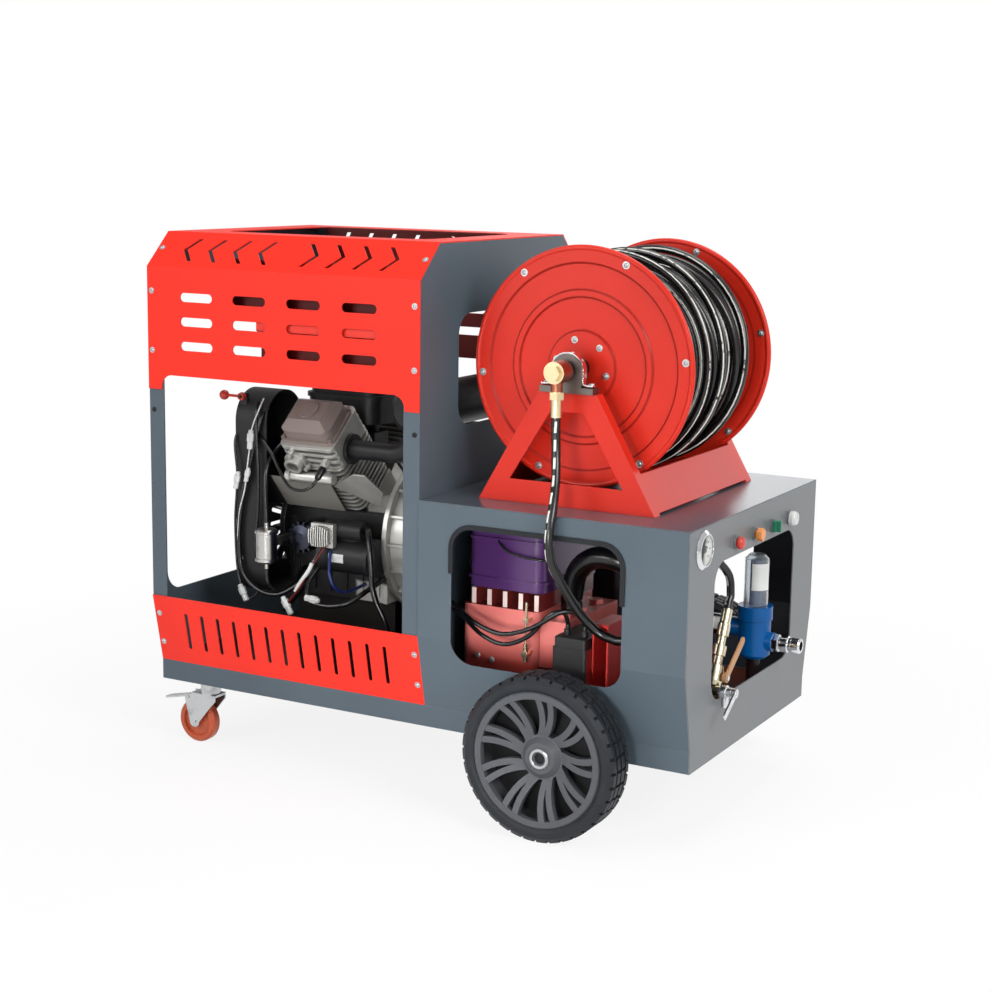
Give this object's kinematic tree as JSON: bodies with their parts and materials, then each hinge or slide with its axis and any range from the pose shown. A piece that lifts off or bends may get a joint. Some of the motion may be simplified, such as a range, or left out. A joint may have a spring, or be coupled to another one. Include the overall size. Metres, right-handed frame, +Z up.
{
  "type": "drain jetter",
  "caption": "Wheeled high-pressure drain jetter with a louvred engine hood, pump cabinet, control panel and a flanged hose reel on an A-frame stand.",
  "frame": {"origin": "on the ground, under the middle of the machine's plan", "axes": "+X toward the control panel, +Z up, -Y the operator's side"},
  "size_m": [1.5186, 0.95, 1.259],
  "materials": {
    "body_grey": "slate grey powder coat",
    "panel_grey": "light grey powder coat",
    "hood_red": "bright red powder coat",
    "reel_red": "red powder coat",
    "cast_alloy": "as cast",
    "cover_brown": "brown-grey stove paint",
    "black_plastic": "moulded",
    "black_metal": "satin black",
    "zinc_steel": "zinc plated",
    "chrome": "polished",
    "purple_paint": "gloss purple",
    "pump_red": "gloss red",
    "hose_rubber": "smooth black cover",
    "filter_blue": "moulded blue",
    "bowl_clear": "clear",
    "brass": "turned brass",
    "swivel_brown": "browned brass",
    "lever_brown": "dipped handle",
    "needle_black": "matt",
    "knob_red": "moulded",
    "knob_yellow": "moulded",
    "knob_green": "moulded",
    "knob_white": "moulded",
    "tyre_rubber": "treaded rubber",
    "rim_grey": "satin grey",
    "caster_orange": "polyurethane"
  },
  "bodies": {
    "chassis": {"base_frame": "body_grey", "front_frame": "body_grey", "partition_wall": "body_grey", "cabinet_side_near": "body_grey", "cabinet_side_far": "body_grey", "cabinet_top": "body_grey", "control_panel": "panel_grey", "skirt_near": "hood_red", "skirt_far": "hood_red", "hood_side_near": "hood_red", "hood_side_far": "hood_red", "hood_top": "hood_red", "reel_stand_near": "reel_red", "reel_stand_far": "reel_red", "crankcase": "cast_alloy", "cylinder_near": "cast_alloy", "cylinder_far": "cast_alloy", "bell_housing": "cast_alloy", "valve_covers": "cover_brown", "blower_housing": "black_plastic", "air_cleaner": "black_plastic", "battery": "black_plastic", "fuel_tank": "black_plastic", "exhaust": "black_metal", "starter_motor": "black_metal", "axle": "zinc_steel", "engine_filters": "zinc_steel", "pillow_blocks": "zinc_steel", "inlet_coupling": "chrome", "pressure_gauge": "chrome", "gear_reducer": "purple_paint", "pump_body": "pump_red", "hoses": "hose_rubber", "delivery_hose": "hose_rubber", "water_filter": "filter_blue", "filter_bowl": "bowl_clear", "water_fittings": "brass", "swivel": "swivel_brown"},
    "wheel_near": {"tyre_near": "tyre_rubber", "rim_near": "rim_grey"},
    "wheel_far": {"tyre_far": "tyre_rubber", "rim_far": "rim_grey"},
    "caster_near": {"fork_near": "zinc_steel"},
    "caster_far": {"fork_far": "zinc_steel"},
    "roller_near": {"caster_wheel_near": "caster_orange"},
    "roller_far": {"caster_wheel_far": "caster_orange"},
    "brake_near": {"pedal_near": "zinc_steel"},
    "brake_far": {"pedal_far": "zinc_steel"},
    "reel": {"reel_flanges": "reel_red", "reel_drum": "hose_rubber", "jet_hose": "hose_rubber"},
    "crank": {"flywheel_fan": "zinc_steel"},
    "throttle": {"throttle_lever": "knob_red"},
    "valve": {"valve_lever": "lever_brown"},
    "tap": {"tap_lever": "chrome"},
    "needle": {"gauge_needle": "needle_black"},
    "red": {"red_button": "knob_red"},
    "yellow": {"yellow_button": "knob_yellow"},
    "green": {"green_switch": "knob_green"},
    "white": {"white_knob": "knob_white"}
  },
  "joints": [
    {"name": "wheel_near_spin", "type": "hinge", "parent": "chassis", "child": "wheel_near", "pos_m": [0.381, -0.43, 0.182], "axis": [0, 1, 0], "continuous": true},
    {"name": "caster_near_swivel", "type": "hinge", "parent": "chassis", "child": "caster_near", "pos_m": [-0.624, -0.279, 0.148], "axis": [0, 0, 1], "continuous": true},
    {"name": "caster_near_roll", "type": "hinge", "parent": "caster_near", "child": "roller_near", "pos_m": [-0.659, -0.279, 0.054], "axis": [0, 1, 0], "continuous": true},
    {"name": "caster_near_brake", "type": "hinge", "parent": "caster_near", "child": "brake_near", "pos_m": [-0.678, -0.279, 0.115], "axis": [0, -1, 0], "range_deg": [0, 15]},
    {"name": "wheel_far_spin", "type": "hinge", "parent": "chassis", "child": "wheel_far", "pos_m": [0.381, 0.43, 0.182], "axis": [0, 1, 0], "continuous": true},
    {"name": "caster_far_swivel", "type": "hinge", "parent": "chassis", "child": "caster_far", "pos_m": [-0.624, 0.279, 0.148], "axis": [0, 0, 1], "continuous": true},
    {"name": "caster_far_roll", "type": "hinge", "parent": "caster_far", "child": "roller_far", "pos_m": [-0.659, 0.279, 0.054], "axis": [0, 1, 0], "continuous": true},
    {"name": "caster_far_brake", "type": "hinge", "parent": "caster_far", "child": "brake_far", "pos_m": [-0.678, 0.279, 0.115], "axis": [0, -1, 0], "range_deg": [0, 15]},
    {"name": "reel_spin", "type": "hinge", "parent": "chassis", "child": "reel", "pos_m": [0.341, 0.015, 0.994], "axis": [0, 1, 0], "continuous": true},
    {"name": "crank_spin", "type": "hinge", "parent": "chassis", "child": "crank", "pos_m": [-0.329, 0, 0.533], "axis": [1, 0, 0], "continuous": true},
    {"name": "throttle_turn", "type": "hinge", "parent": "chassis", "child": "throttle", "pos_m": [-0.543, -0.25, 0.868], "axis": [0, 1, 0], "range_deg": [-15, 25]},
    {"name": "valve_turn", "type": "hinge", "parent": "chassis", "child": "valve", "pos_m": [0.687, -0.176, 0.34], "axis": [1, 0, 0], "range_deg": [0, 90]},
    {"name": "tap_turn", "type": "hinge", "parent": "chassis", "child": "tap", "pos_m": [0.717, -0.194, 0.314], "axis": [1, 0, 0], "range_deg": [-90, 0]},
    {"name": "needle_swing", "type": "hinge", "parent": "chassis", "child": "needle", "pos_m": [0.686, -0.312, 0.646], "axis": [-1, 0, 0], "range_deg": [0, 270], "stiffness_Nm_per_rad": 0.01},
    {"name": "red_press", "type": "slide", "parent": "chassis", "child": "red", "axis": [-1, 0, 0], "range_m": [0, 0.004], "stiffness_N_per_m": 800},
    {"name": "yellow_press", "type": "slide", "parent": "chassis", "child": "yellow", "axis": [-1, 0, 0], "range_m": [0, 0.004], "stiffness_N_per_m": 800},
    {"name": "green_turn", "type": "hinge", "parent": "chassis", "child": "green", "pos_m": [0.686, 0.088, 0.631], "axis": [1, 0, 0], "range_deg": [-45, 45]},
    {"name": "white_turn", "type": "hinge", "parent": "chassis", "child": "white", "pos_m": [0.686, 0.198, 0.631], "axis": [1, 0, 0], "range_deg": [0, 90]}
  ]
}
